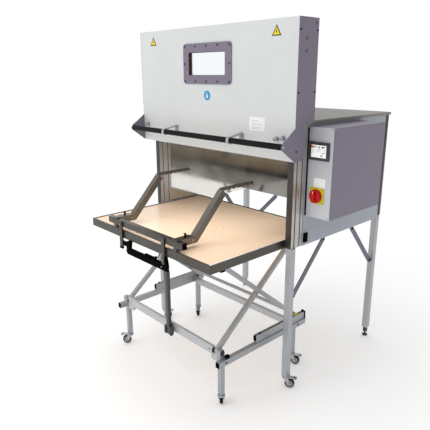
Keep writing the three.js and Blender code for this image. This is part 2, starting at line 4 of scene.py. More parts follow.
import bmesh
import bpy
from mathutils import Matrix, Vector


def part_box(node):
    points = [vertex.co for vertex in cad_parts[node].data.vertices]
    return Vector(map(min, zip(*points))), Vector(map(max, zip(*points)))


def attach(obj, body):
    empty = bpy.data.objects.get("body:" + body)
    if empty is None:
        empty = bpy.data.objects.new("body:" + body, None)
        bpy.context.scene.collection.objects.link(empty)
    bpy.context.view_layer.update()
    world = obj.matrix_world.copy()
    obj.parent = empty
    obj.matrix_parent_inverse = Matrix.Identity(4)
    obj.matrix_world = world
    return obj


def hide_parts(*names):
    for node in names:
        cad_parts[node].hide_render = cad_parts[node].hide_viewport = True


bl_info = {
    "name": "Lift-door batch oven",
    "version": (1, 0, 0),
    "blender": (4, 5, 0),
    "location": "3D View > Sidebar > Oven",
    "description": "Finishes, fittings and studio for a batch oven with a lift door and a scissor-lift table",
    "category": "Add Mesh",
}

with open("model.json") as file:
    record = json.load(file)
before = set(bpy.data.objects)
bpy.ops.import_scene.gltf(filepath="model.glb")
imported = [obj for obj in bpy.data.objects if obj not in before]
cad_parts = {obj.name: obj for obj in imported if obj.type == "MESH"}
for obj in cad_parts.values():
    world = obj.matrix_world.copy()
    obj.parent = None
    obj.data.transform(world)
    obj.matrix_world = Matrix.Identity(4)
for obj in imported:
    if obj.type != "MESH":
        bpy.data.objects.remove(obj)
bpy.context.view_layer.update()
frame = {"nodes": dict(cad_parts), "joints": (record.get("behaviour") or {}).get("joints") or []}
MM = 0.001
CASTERS = [
    "oven_left", "oven_right", "cart_front_left", "cart_front_right", "cart_rear_left", "cart_rear_right",
]
HOOD = {side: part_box(f"leg_front_{side}") for side in ("left", "right")}
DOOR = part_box("door_panel")
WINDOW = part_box("window_frame")


# ---------- places ----------
def spot(x, y, z):
    """A point in metres; x from the hood's left face, y behind its front, z above the floor, in mm."""
    corner = HOOD["left"][0]
    return Vector((corner[0] + x * MM, corner[1] + y * MM, z * MM))


def behind(y):
    """The y in metres of a place y mm behind the hood's front."""
    return spot(0, y, 0).y


def middle(node):
    low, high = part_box(node)
    return (Vector(low) + Vector(high)) / 2


# ---------- colours and shader nodes ----------
def linear(hex_colour):
    """sRGB hex to the linear RGBA that shaders take."""
    parts = [int(hex_colour[i:i + 2], 16) / 255 for i in (0, 2, 4)]
    return tuple(c / 12.92 if c <= 0.04045 else ((c + 0.055) / 1.055) ** 2.4 for c in parts) + (1.0,)


def add_node(tree, kind, values=None, links=None, **settings):
    """One shader node: attributes from settings, socket values and incoming links by socket name."""
    node = tree.nodes.new(kind)
    for key, value in settings.items():
        setattr(node, key, value)
    for key, value in (values or {}).items():
        node.inputs[key].default_value = value
    for key, source in (links or {}).items():
        tree.links.new(source, node.inputs[key])
    return node


MATERIALS = {}


def finish_material(name, colour, roughness, metallic=0.0, grain_mm=1.5, stretch=(1, 1, 1), tint=0.04,
                    rough_spread=0.08, bump_mm=0.02, patch_mm=180, **shader):
    """A surface with a fine grain and wide soft patches in its colour, gloss and relief."""
    if name in MATERIALS:
        return MATERIALS[name]
    material = bpy.data.materials.new(name)
    material.use_nodes = True
    tree = material.node_tree
    principled = next(n for n in tree.nodes if n.type == "BSDF_PRINCIPLED")
    place = add_node(tree, "ShaderNodeTexCoord").outputs["Object"]
    scaled = add_node(tree, "ShaderNodeMapping", {"Scale": stretch}, {"Vector": place}).outputs["Vector"]
    grain_values = {"Scale": 1 / (grain_mm * MM), "Detail": 3.0, "Roughness": 0.55}
    grain = add_node(tree, "ShaderNodeTexNoise", grain_values, {"Vector": scaled}).outputs["Fac"]
    patch = add_node(tree, "ShaderNodeTexNoise", {"Scale": 1 / (patch_mm * MM), "Detail": 2.0},
                     {"Vector": place}).outputs["Fac"]
    both = add_node(tree, "ShaderNodeMath", {1: 0.5}, {0: grain}, operation="MULTIPLY").outputs[0]
    both = add_node(tree, "ShaderNodeMath", {1: 0.5}, {0: patch, 2: both},
                    operation="MULTIPLY_ADD").outputs[0]
    base = linear(colour)
    dark = tuple(c * (1 - tint) for c in base[:3]) + (1.0,)
    light = tuple(min(1.0, c * (1 + tint)) for c in base[:3]) + (1.0,)
    ramp = add_node(tree, "ShaderNodeValToRGB", links={"Fac": both})
    ramp.color_ramp.elements[0].position, ramp.color_ramp.elements[0].color = 0.35, dark
    ramp.color_ramp.elements[1].position, ramp.color_ramp.elements[1].color = 0.65, light
    tree.links.new(ramp.outputs["Color"], principled.inputs["Base Color"])
    spread = add_node(tree, "ShaderNodeMapRange",
                      {"From Min": 0.3, "From Max": 0.7, "To Min": max(0.02, roughness - rough_spread),
                       "To Max": min(1.0, roughness + rough_spread)}, {"Value": both})
    tree.links.new(spread.outputs["Result"], principled.inputs["Roughness"])
    relief = add_node(tree, "ShaderNodeBump", {"Strength": 0.6, "Distance": bump_mm * MM}, {"Height": grain})
    tree.links.new(relief.outputs["Normal"], principled.inputs["Normal"])
    principled.inputs["Metallic"].default_value = metallic
    for socket, value in shader.items():
        principled.inputs[socket.replace("_", " ")].default_value = value
    MATERIALS[name] = material
    return material


# Powder coat on sheet steel: an even satin with a faint orange peel about 2 mm across.
def powder_coat(name, colour, roughness=0.42):
    return finish_material(name, colour, roughness, grain_mm=2.2, bump_mm=0.03, tint=0.025, IOR=1.5)


# Anodised extruded aluminium: pale, soft gloss, with die lines along the length of the bar.
def anodised(name, colour, along):
    lines = tuple(0.02 if axis == along else 1 for axis in "xyz")
    return finish_material(name, colour, 0.42, metallic=0.55, grain_mm=2.0, stretch=lines, tint=0.05,
                           bump_mm=0.02)


# Brushed stainless steel: a directional grain about 0.4 mm wide, drawn at 1.5 mm so that it shows.
def brushed(name, colour, roughness, along="x", metallic=0.9):
    lines = tuple(0.015 if axis == along else 1 for axis in "xyz")
    return finish_material(name, colour, roughness, metallic=metallic, grain_mm=1.5, stretch=lines, tint=0.16,
                           rough_spread=0.1, bump_mm=0.015, patch_mm=260)


# A pillar whose narrow flanks are painted lighter than its mill-finish front and back: a painted sheen
# standing in for the light and reflections that fall on the flanks.
def painted_flank_sheen(material, colour):
    tree = material.node_tree
    principled = next(n for n in tree.nodes if n.type == "BSDF_PRINCIPLED")
    front = principled.inputs["Base Color"].links[0].from_socket
    # Mask of the faces turned along ±x, which take the painted sheen colour.
    normal = add_node(tree, "ShaderNodeNewGeometry").outputs["Normal"]
    across = add_node(tree, "ShaderNodeSeparateXYZ", links={0: normal}).outputs["X"]
    size = add_node(tree, "ShaderNodeMath", links={0: across}, operation="ABSOLUTE").outputs[0]
    edge = {"From Min": 0.5, "From Max": 0.6}
    flank = add_node(tree, "ShaderNodeMapRange", edge, {"Value": size}).outputs["Result"]
    mixed = add_node(tree, "ShaderNodeMix", {7: linear(colour)}, {0: flank, 6: front}, data_type="RGBA")
    tree.links.new(mixed.outputs[2], principled.inputs["Base Color"])
    return material


# Moulded plastic: a fine spark-eroded grain of about 0.3 mm, drawn at 0.8 mm.
def moulded(name, colour, roughness=0.45, **shader):
    return finish_material(name, colour, roughness, grain_mm=0.8, bump_mm=0.02, tint=0.05, IOR=1.46, **shader)


def material_for(name):
    makers = {
        "powder_coat_light_grey": lambda: powder_coat(name, "D9DCDC"),
        "powder_coat_violet_grey": lambda: powder_coat(name, "7B7485"),
        "powder_coat_pale_grey": lambda: powder_coat(name, "C6C8CD"),
        "powder_coat_blue_grey": lambda: powder_coat(name, "A6ABB5"),
        "powder_coat_slate": lambda: powder_coat(name, "6C6A79"),
        "roof_paint_olive_grey": lambda: powder_coat(name, "86857F", 0.5),
        "anodised_upright": lambda: anodised(name, "B0B3B7", "z"),
        "anodised_lengthwise": lambda: anodised(name, "A8ABAF", "y"),
        "anodised_crosswise": lambda: anodised(name, "BEC0C3", "x"),
        # The lining's side walls carry a painted reflection: a lighter colour on faces turned along x.
        "stainless_lining_painted_sheen": lambda: painted_flank_sheen(brushed(name, "8A8883", 0.12, "x", 0.95), "EAE8E2"),
        "brushed_dark_stainless": lambda: brushed(name, "57544F", 0.32, "x"),
        # The door posts' flanks carry a painted highlight: a lighter colour on faces turned along x.
        "dark_upright_painted_sheen": lambda: painted_flank_sheen(brushed(name, "3E3B38", 0.3, "z", 0.4), "C0BEBA"),
        "brushed_dark_lengthwise": lambda: brushed(name, "6F6A64", 0.3, "y"),
        # A near-white, barely metallic strip: a painted highlight along the table rim's edges.
        "painted_highlight_edge": lambda: brushed(name, "F2F2F0", 0.35, "y", 0.15),
        "zinc_plated_steel": lambda: brushed(name, "B4B7BA", 0.35, "z", 0.85),
        "blackened_steel": lambda: brushed(name, "4C4B4E", 0.4, "z", 0.7),
        "heat_blued_steel": lambda: brushed(name, "4A4540", 0.45, "x"),
        "painted_spring_tube": lambda: powder_coat(name, "48484C"),
        # Closed-cell foam sleeve: matt black, pitted at about 1 mm.
        "foam_rubber_black": lambda: finish_material(name, "17171A", 0.85, grain_mm=1.2, bump_mm=0.15,
                                                     tint=0.3, Specular_IOR_Level=0.25),
        "moulded_black": lambda: moulded(name, "060607", 0.8, Specular_IOR_Level=0.04),
        "moulded_dark_grey": lambda: moulded(name, "404448"),
        "moulded_yellow": lambda: moulded(name, "DDD000", 0.4),
        "moulded_red": lambda: moulded(name, "B40408", 0.34, Specular_IOR_Level=0.3),
        "moulded_mid_grey": lambda: moulded(name, "8C9094"),
        # Polyurethane tread: black and dull, slightly scuffed.
        "polyurethane_tread": lambda: finish_material(name, "101113", 0.75, grain_mm=1.5, bump_mm=0.06,
                                                      tint=0.25, Specular_IOR_Level=0.2),
        # Laminated board: a warm peach face with a soft gloss and a faint mottle.
        "laminate_peach": lambda: finish_material(name, "F8DABB", 0.3, grain_mm=6, bump_mm=0.01, tint=0.02,
                                                  patch_mm=420, Coat_Weight=0.25, Coat_Roughness=0.15),
        "silicone_dark_red": lambda: moulded(name, "4A0A10", 0.5),
        "vinyl_yellow": lambda: moulded(name, "F2D400", 0.4),
        "vinyl_black": lambda: moulded(name, "1B1A18", 0.45),
        "vinyl_blue": lambda: moulded(name, "129BD0", 0.4),
        # A display's cover glass with its backlight on.
        "lit_display": lambda: moulded(name, "F5F5F5", 0.3, Emission_Color=(1.0, 1.0, 1.0, 1.0),
                                       Emission_Strength=0.35),
        "vinyl_white": lambda: moulded(name, "F5F5F5", 0.4),
        "vinyl_grey": lambda: moulded(name, "A9ABAE", 0.5),
        "vinyl_orange": lambda: moulded(name, "F08A1D", 0.4),
    }
    return MATERIALS.get(name) or makers[name]()


def clear_glass():
    """Toughened float glass: clear, with a faint cool edge."""
    if "float_glass" not in MATERIALS:
        glass = finish_material("float_glass", "F6F8FA", 0.03, grain_mm=400, bump_mm=0.0, tint=0.005,
                                rough_spread=0.01, IOR=1.5)
        shader = next(n for n in glass.node_tree.nodes if n.type == "BSDF_PRINCIPLED")
        shader.inputs["Transmission Weight"].default_value = 1.0
    return MATERIALS["float_glass"]


# ---------- mesh work ----------
def box_into(bm, low, high, bevel=0.0, turn=None):
    """A block with softened edges, between two corners in metres."""
    low, high = Vector(low), Vector(high)
    made = bmesh.ops.create_cube(bm, size=1.0)["verts"]
    bmesh.ops.scale(bm, vec=high - low, verts=made)
    if turn is not None:
        bmesh.ops.transform(bm, matrix=turn, verts=made)
    bmesh.ops.translate(bm, vec=(low + high) / 2, verts=made)
    if bevel:
        edges = {e for v in made for e in v.link_edges}
        bmesh.ops.bevel(bm, geom=list(edges), offset=bevel, segments=3, profile=0.5, affect="EDGES")


def basis(axis):
    """A turn that carries +Z onto axis."""
    return Vector((0, 0, 1)).rotation_difference(Vector(axis)).to_matrix().to_4x4()


def lathe_into(bm, profile, centre, axis=(0, 0, 1), sides=32):
    """A turned piece: profile is (radius, height) in millimetres along axis from centre, closed on itself."""
    turn = Matrix.Translation(centre) @ basis(axis)
    rings = []
    for radius, height in profile:
        if radius < 1e-6:
            rings.append([bm.verts.new(turn @ Vector((0, 0, height * MM)))])
            continue
        rings.append([
            bm.verts.new(turn @ Vector((radius * MM * math.cos(2 * math.pi * i / sides),
                                        radius * MM * math.sin(2 * math.pi * i / sides), height * MM)))
            for i in range(sides)
        ])
    for a, b in zip(rings, rings[1:]):
        for i in range(sides):
            j = (i + 1) % sides
            corners = [a[i % len(a)], a[j % len(a)], b[j % len(b)], b[i % len(b)]]
            unique = list(dict.fromkeys(corners))
            if len(unique) > 2:
                bm.faces.new(unique)


def outline_into(bm, points, depth, to_world, bevel=0.0):
    """A plate: an outline in millimetres, pushed out by depth, placed by to_world."""
    front = [bm.verts.new(to_world @ Vector((x * MM, y * MM, 0))) for x, y in points]
    back = [bm.verts.new(to_world @ Vector((x * MM, y * MM, depth * MM))) for x, y in points]
    faces = [bm.faces.new(front), bm.faces.new(list(reversed(back)))]
    count = len(points)
    for i in range(count):
        faces.append(bm.faces.new([front[(i + 1) % count], front[i], back[i], back[(i + 1) % count]]))
    if bevel:
        rim = [e for e in faces[1].edges]
        bmesh.ops.bevel(bm, geom=rim, offset=bevel * MM, segments=2, profile=0.5, affect="EDGES")


def piece(name, bm, material, body):
    """The finished mesh as an object that rides on a body."""
    bmesh.ops.recalc_face_normals(bm, faces=bm.faces)
    mesh = bpy.data.meshes.new(name)
    bm.to_mesh(mesh)
    bm.free()
    mesh.polygons.foreach_set("use_smooth", [True] * len(mesh.polygons))
    mesh.set_sharp_from_angle(angle=math.radians(38))
    obj = bpy.data.objects.new(name, mesh)
    bpy.context.scene.collection.objects.link(obj)
    obj.data.materials.append(material)
    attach(obj, body)
    return obj


def pan_screw(radius, height):
    """Profile of a domed screw head with a hex recess, standing on its face."""
    dome = [(radius, 0), (radius, height * 0.35), (radius * 0.86, height * 0.75), (radius * 0.6, height)]
    hollow = [(radius * 0.45, height), (radius * 0.4, height * 0.45), (0, height * 0.45)]
    return [(0, 0)] + dome + hollow


def hex_bolt_into(bm, centre, axis, across, height):
    """A hexagon head on a washer."""
    lathe_into(bm, [(0, 0), (across * 0.62, 0), (across * 0.62, 1.2), (0, 1.2)], centre, axis, 24)
    top = Vector(centre) + Vector(axis).normalized() * 1.2 * MM
    head = [(0, 0), (across * 0.56, 0), (across * 0.56, height * 0.8), (across * 0.48, height), (0, height)]
    lathe_into(bm, head, top, axis, 6)


def screws(name, places, axis, radius, height, material, body):
    bm = bmesh.new()
    for place in places:
        lathe_into(bm, pan_screw(radius, height), place, axis, 20)
    return piece(name, bm, material_for(material), body)


def bolts(name, places, axis, across, height, material, body):
    bm = bmesh.new()
    for place in places:
        hex_bolt_into(bm, place, axis, across, height)
    return piece(name, bm, material_for(material), body)


def face_plane(origin, right=(1, 0, 0), up=(0, 0, 1)):
    """A frame on a face: x to the right, y up, z out of the face."""
    right, up = Vector(right), Vector(up)
    return Matrix.Translation(origin) @ Matrix((right, up, right.cross(up))).transposed().to_4x4()


def rounded(width, height, radius, steps=5):
    points = []
    for cx, cy, start in ((1, -1, -90), (1, 1, 0), (-1, 1, 90), (-1, -1, 180)):
        for i in range(steps + 1):
            angle = math.radians(start + 90 * i / steps)
            points.append((cx * (width / 2 - radius) + radius * math.cos(angle),
                           cy * (height / 2 - radius) + radius * math.sin(angle)))
    return points


def rectangle(x, z, width, height):
    left, right, low, high = x - width / 2, x + width / 2, z - height / 2, z + height / 2
    return [(left, low), (right, low), (right, high), (left, high)]


def circle(radius, sides=40):
    return [(radius * math.cos(2 * math.pi * i / sides), radius * math.sin(2 * math.pi * i / sides))
            for i in range(sides)]


# ---------- finishes of the frame's own pieces ----------
NODE_FINISH = {
    "powder_coat_light_grey": ["door_panel"],
    "powder_coat_pale_grey": ["cabinet_front"],
    "powder_coat_violet_grey": ["door_cheek_left", "door_cheek_right", "window_frame", "control_cabinet"],
    "powder_coat_blue_grey": ["base_frame", "casing"],
    "roof_paint_olive_grey": ["roof_plate"],
    "anodised_upright": ["leg_front_left", "leg_front_right", "leg_rear_left", "leg_rear_right"],
    "powder_coat_slate": ["brace_right_rear", "brace_right_front", "brace_left_rear", "brace_rear_left"],
    "anodised_lengthwise": ["cart_side_left", "cart_side_right", "scissor_front_arms", "scissor_rear_arms"],
    "anodised_crosswise": ["cart_front_rail", "cart_rear_rail"],
    "dark_upright_painted_sheen": ["door_post_left", "door_post_right"],
    "stainless_lining_painted_sheen": ["chamber_lining", "fan_impeller", "door_inner_sheet"],
    "heat_blued_steel": ["heater_bank"],
    "brushed_dark_stainless": ["table_frame", "arm_crossbar"],
    "brushed_dark_lengthwise": ["support_arm_left", "support_arm_right"],
    "laminate_peach": ["table_board"],
    "moulded_black": ["push_handle", "release_lever", "release_cable"],
    "painted_spring_tube": ["gas_spring_cylinder"],
    "blackened_steel": ["levelling_foot_left", "levelling_foot_right"],
    "zinc_plated_steel": ["gas_spring_rod", "handle_support_left",
                          "handle_support_right"] + [f"caster_fork_{place}" for place in CASTERS],
    "moulded_dark_grey": ["screen_panel"],
    "moulded_yellow": ["switch_plate"],
}
EDGE_MM = {
    "door_panel": 1.6, "control_cabinet": 2.0, "cabinet_front": 1.2, "roof_plate": 2.0, "table_board": 1.5,
    "window_frame": 2.0, "push_handle": 4.0, "screen_panel": 1.5, "switch_plate": 2.0, "base_frame": 1.5,
    "gas_spring_cylinder": 1.2, "scissor_front_arms": 1.5, "scissor_rear_arms": 1.5,
}
NO_EDGE = {"fan_impeller", "heater_bank", "chamber_lining", "door_inner_sheet", "release_cable"}


def dress(node, material, edge_mm):
    """A finish for a frame piece, and its arrises softened as real folds and saw cuts are."""
    obj = frame["nodes"][node]
    obj.data.materials.clear()
    obj.data.materials.append(material)
    if node in NO_EDGE:
        return
    weld = obj.modifiers.new("weld", "WELD")
    weld.merge_threshold = 0.00002
    bevel = obj.modifiers.new("arris", "BEVEL")
    bevel.width = edge_mm * MM
    bevel.segments = 2
    bevel.limit_method = "ANGLE"
    bevel.angle_limit = math.radians(35)
    bevel.harden_normals = True
    bevel.use_clamp_overlap = True


class OvenSettings(bpy.types.PropertyGroup):
    edge: bpy.props.FloatProperty(name="Edge", description="Softened edge of sawn and folded metal",
                                  default=0.0009, subtype="DISTANCE", unit="LENGTH")
    screw_radius: bpy.props.FloatProperty(name="Screw head",
                                          description="Radius of the window frame's screw heads",
                                          default=0.0065, subtype="DISTANCE", unit="LENGTH")
    floor_size: bpy.props.FloatProperty(name="Floor", description="Width of the studio floor", default=60.0,
                                        subtype="DISTANCE", unit="LENGTH")
    lens: bpy.props.FloatProperty(name="Lens", description="Focal length for a 36 mm sensor", default=40.95)


def settings():
    return bpy.context.scene.oven_settings


class OvenOperator(bpy.types.Operator):
    bl_options = {"REGISTER", "UNDO"}


class OVEN_OT_stage(OvenOperator):
    """Camera, floor and soft studio light"""
    bl_idname = "oven.stage"
    bl_label = "Stage"

    def execute(self, context):
        scene = context.scene
        camera = bpy.data.objects.new("camera", bpy.data.cameras.new("camera"))
        scene.collection.objects.link(camera)
        camera.data.lens = settings().lens
        camera.data.sensor_width = 36.0
        yaw, pitch, roll = math.radians(47.48), math.radians(-16.22), math.radians(-0.27)
        camera.matrix_world = (
            Matrix.Translation(spot(3032, -2173, 1965)) @ Matrix.Rotation(yaw, 4, "Z")
            @ Matrix.Rotation(math.pi / 2 + pitch, 4, "X") @ Matrix.Rotation(roll, 4, "Z")
        )
        scene.camera = camera

        bm = bmesh.new()
        half = settings().floor_size / 2
        bmesh.ops.create_grid(bm, x_segments=2, y_segments=2, size=half)
        mesh = bpy.data.meshes.new("floor")
        bm.to_mesh(mesh)
        bm.free()
        floor = bpy.data.objects.new("floor", mesh)
        scene.collection.objects.link(floor)
        floor.location.z = -0.001
        painted = finish_material("studio_floor", "F8F8F8", 0.9, grain_mm=60, bump_mm=0.0, tint=0.004,
                                  Emission_Color=(1.0, 1.0, 1.0, 1.0), Emission_Strength=0.22)
        mesh.materials.append(painted)

        world = bpy.data.worlds.new("studio")
        world.use_nodes = True
        background = next(n for n in world.node_tree.nodes if n.type == "BACKGROUND")
        background.inputs["Color"].default_value = (1.0, 1.0, 1.0, 1.0)
        sky = world.node_tree
        direction = add_node(sky, "ShaderNodeTexCoord").outputs["Generated"]
        across = add_node(sky, "ShaderNodeSeparateXYZ",
                          links={"Vector": direction}).outputs["X"]
        fade = {"From Min": -0.1, "From Max": 0.8, "To Min": 1.0, "To Max": 0.42}
        softbox = add_node(sky, "ShaderNodeMapRange", fade, {"Value": across},
                           interpolation_type="SMOOTHSTEP")
        sky.links.new(softbox.outputs["Result"], background.inputs["Strength"])
        scene.world = world
        for name, place, target, width, depth, power, spread in (
            ("key", (-1.6, -4.2, 4.2), (0, 0, 1.1), 2.5, 2.5, 30, 180),
            ("table_fill", (0.08, -0.53, 1.47), (0.08, -0.52, 1.0), 1.0, 0.6, 3.6, 170),
            ("chamber_fill", (0.25, 0.05, 1.40), (-0.50, 0.15, 1.0), 0.4, 0.4, 0.8, 180),
        ):
            light = bpy.data.lights.new(name, "AREA")
            light.shape = "RECTANGLE"
            light.size = width
            light.size_y = depth
            light.energy = power
            light.spread = math.radians(spread)
            lamp = bpy.data.objects.new(name, light)
            lamp.location = place
            lamp.visible_camera = lamp.visible_glossy = False
            lamp.rotation_euler = (Vector(target) - Vector(place)).to_track_quat("-Z", "Y").to_euler()
            scene.collection.objects.link(lamp)
        scene.view_settings.view_transform = "Standard"
        return {"FINISHED"}


class OVEN_OT_finishes(OvenOperator):
    """Paint, metal and plastic finishes of the frame's own pieces"""
    bl_idname = "oven.finishes"
    bl_label = "Finishes"

    def execute(self, context):
        for finish, nodes in NODE_FINISH.items():
            for node in nodes:
                dress(node, material_for(finish), EDGE_MM.get(node, settings().edge / MM))
        dress("window_glass", clear_glass(), 0.5)
        return {"FINISHED"}


class OVEN_OT_window(OvenOperator):
    """The window frame's twelve screws and the seal round its glass"""
    bl_idname = "oven.window"
    bl_label = "Window"

    def execute(self, context):
        low, high = WINDOW
        inset = 0.0165
        xs = [low[0] + inset + (high[0] - low[0] - 2 * inset) * i / 4 for i in range(5)]
        zs = (low[2] + inset, high[2] - inset)
        places = [Vector((x, low[1], z)) for x in xs for z in zs]
        places += [Vector((x, low[1], (low[2] + high[2]) / 2)) for x in (xs[0], xs[4])]
        radius = settings().screw_radius / MM
        screws("window_screws", places, (0, -1, 0), radius, 3.6, "blackened_steel", "door")

        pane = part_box("window_glass")
        width, height = ((pane[1][i] - pane[0][i]) / MM for i in (0, 2))
        centre = middle("window_glass")
        bm = bmesh.new()
        outer, inner = rounded(width - 0.6, height - 0.6, 7), rounded(width - 3, height - 3, 6)
        for y0, y1 in ((low[1] + 0.001, pane[0][1] - 0.0004), (pane[1][1] + 0.0004, DOOR[1][1] - 0.001)):
            rings = []
            for outline, y in ((outer, y0), (outer, y1), (inner, y1), (inner, y0)):
                rings.append([bm.verts.new((centre[0] + x * MM, y, centre[2] + z * MM)) for x, z in outline])
            for a, b in zip(rings, rings[1:] + rings[:1]):
                for i in range(len(a)):
                    j = (i + 1) % len(a)
                    bm.faces.new([a[i], a[j], b[j], b[i]])
        piece("window_seal", bm, material_for("silicone_dark_red"), "door")
        return {"FINISHED"}


class OVEN_OT_door_marks(OvenOperator):
    """Plain signs on the door, with no wording, and a blank rating plate"""
    bl_idname = "oven.door_marks"
    bl_label = "Door signs"

    def execute(self, context):
        face = DOOR[0][1] - 0.0001
        for name, x, z in (("left", 106, 2147), ("right", 1219, 2154)):
            place = spot(x, 0, z)
            place.y = face
            on_face = face_plane(place)
            triangles = (("edge", 33, -1, 0.5, "vinyl_black"), ("field", 23.5, 4.6, 0.9, "vinyl_yellow"))
            for part, half, rise, depth, material in triangles:
                bm = bmesh.new()
                points = [(-half, rise), (half, rise), (0, rise + half * 1.73)]
                outline_into(bm, points, depth, on_face)
                piece(f"sign_{name}_{part}", bm, material_for(material), "door")
            bm = bmesh.new()
            bolt = [(-1.5, 29), (3.4, 29), (0.8, 21.5), (4.6, 21.5), (-2.6, 9.5), (-0.2, 18.2), (-4.4, 18.2)]
            outline_into(bm, bolt, 1.1, on_face)
            piece(f"sign_{name}_mark", bm, material_for("vinyl_black"), "door")

        place = spot(659, 0, 1827)
        place.y = face
        bm = bmesh.new()
        outline_into(bm, circle(30), 0.7, face_plane(place), 0.2)
        piece("disc_sign", bm, material_for("vinyl_blue"), "door")
        bm = bmesh.new()
        outline_into(bm, [(-6, -15), (6, -15), (7, 3), (3, 5), (2, 17), (-3, 17), (-4, 2), (-8, 0)], 1.0,
                     face_plane(place))
        piece("disc_sign_mark", bm, material_for("vinyl_white"), "door")

        place = spot(1091, 0, 1679)
        place.y = face
        bm = bmesh.new()
        outline_into(bm, rounded(122, 78, 2), 0.8, face_plane(place), 0.3)
        piece("rating_plate", bm, material_for("vinyl_white"), "door")
        bm = bmesh.new()
        on_plate = face_plane(place)
        lines = ((-18, 20, 54), (-22, 13, 46), (-6, 1, 70), (-6, -6, 70), (-8, -20, 78), (-8, -27, 60))
        for x, z, width in lines:
            outline_into(bm, rectangle(x, z, width, 1.8), 1.0, on_plate)
        piece("rating_plate_lines", bm, material_for("vinyl_grey"), "door")
        return {"FINISHED"}


class OVEN_OT_door_hardware(OvenOperator):
    """Knobs beside the handle, the cheeks' screws and bosses, and the bolts at the handle's ends"""
    bl_idname = "oven.door_hardware"
    bl_label = "Door hardware"

    def execute(self, context):
        bm = bmesh.new()
        for x, z in ((1244, 1608), (1290, 1616), (12, 1606)):
            place = spot(x, 0, z)
            place.y = DOOR[0][1] - 0.0002
            knob = [(0, 0), (6, 0), (6, 10), (12, 12), (13.5, 15), (13.5, 22), (11, 25), (5, 26), (0, 26)]
            lathe_into(bm, knob, place, (0, -1, 0), 28)
            lathe_into(bm, [(0, 0), (14, 0), (14, 2), (0, 2)], place, (0, -1, 0), 28)
        piece("door_knobs", bm, material_for("zinc_plated_steel"), "door")

        for side, sign in (("left", -1), ("right", 1)):
            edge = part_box(f"door_cheek_{side}")[0 if side == "left" else 1][0]
            small = [Vector((edge, behind(-48), z * MM)) for z in (2178, 1861, 1548)]
            small += [Vector((edge, behind(92), z * MM)) for z in (2178, 1861)]
            screws(f"cheek_screws_{side}", small, (sign, 0, 0), 5.5, 3, "moulded_black", "door")
            bm = bmesh.new()
            for y, z, radius in ((85, 2214, 9), (8, 2136, 10), (8, 2071, 10)):
                ring = [(0, 0), (radius, 0), (radius, 2), (radius - 2, 3), (radius - 4, 3),
                        (radius - 5, 1.2), (0, 1.2)]
                lathe_into(bm, ring, (edge, behind(y), z * MM), (sign, 0, 0), 24)
            piece(f"cheek_bosses_{side}", bm, material_for("powder_coat_slate"), "door")
            handle = middle("handle_bar")
            end = Vector((edge, handle[1], handle[2]))
            bm = bmesh.new()
            hex_bolt_into(bm, end, (sign, 0, 0), 13, 6)
            piece(f"handle_end_bolt_{side}", bm, material_for("zinc_plated_steel"), "door")
        return {"FINISHED"}


class OVEN_OT_handle(OvenOperator):
    """The door's handle bar: a foam sleeve over a steel tube, with its end collars"""
    bl_idname = "oven.handle"
    bl_label = "Door handle"

    def execute(self, context):
        low, high = (Vector(corner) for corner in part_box("handle_bar"))
        centre = (low + high) / 2
        radius = (high.z - low.z) / 2 / MM
        length = (high.x - low.x) / MM
        supports = ("handle_support_left", "handle_support_right")
        marks = [(middle(node).x - low.x) / MM for node in supports]
        profile = [(0, 0), (8, 0), (8, 6), (radius - 2, 6), (radius, 9)]
        for mark in marks:
            waist = radius - 2.2
            profile += [(radius, mark - 9), (waist, mark - 8), (waist, mark + 8), (radius, mark + 9)]
        profile += [(radius, length - 9), (radius - 2, length - 6), (8, length - 6), (8, length), (0, length)]
        bm = bmesh.new()
        lathe_into(bm, profile, Vector((low.x, centre.y, centre.z)), (1, 0, 0), 40)
        sleeve = piece("handle_sleeve", bm, material_for("foam_rubber_black"), "door")
        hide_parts("handle_bar")
        places = []
        for side in ("left", "right"):
            box_low, box_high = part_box(f"handle_support_{side}")
            places.append(Vector(((box_low[0] + box_high[0]) / 2, box_high[1] - 0.0052, box_high[2] - 0.008)))
        bolts("handle_bracket_bolts", places, (0, -1, 0), 8, 4, "zinc_plated_steel", "door")
        return {"FINISHED"}


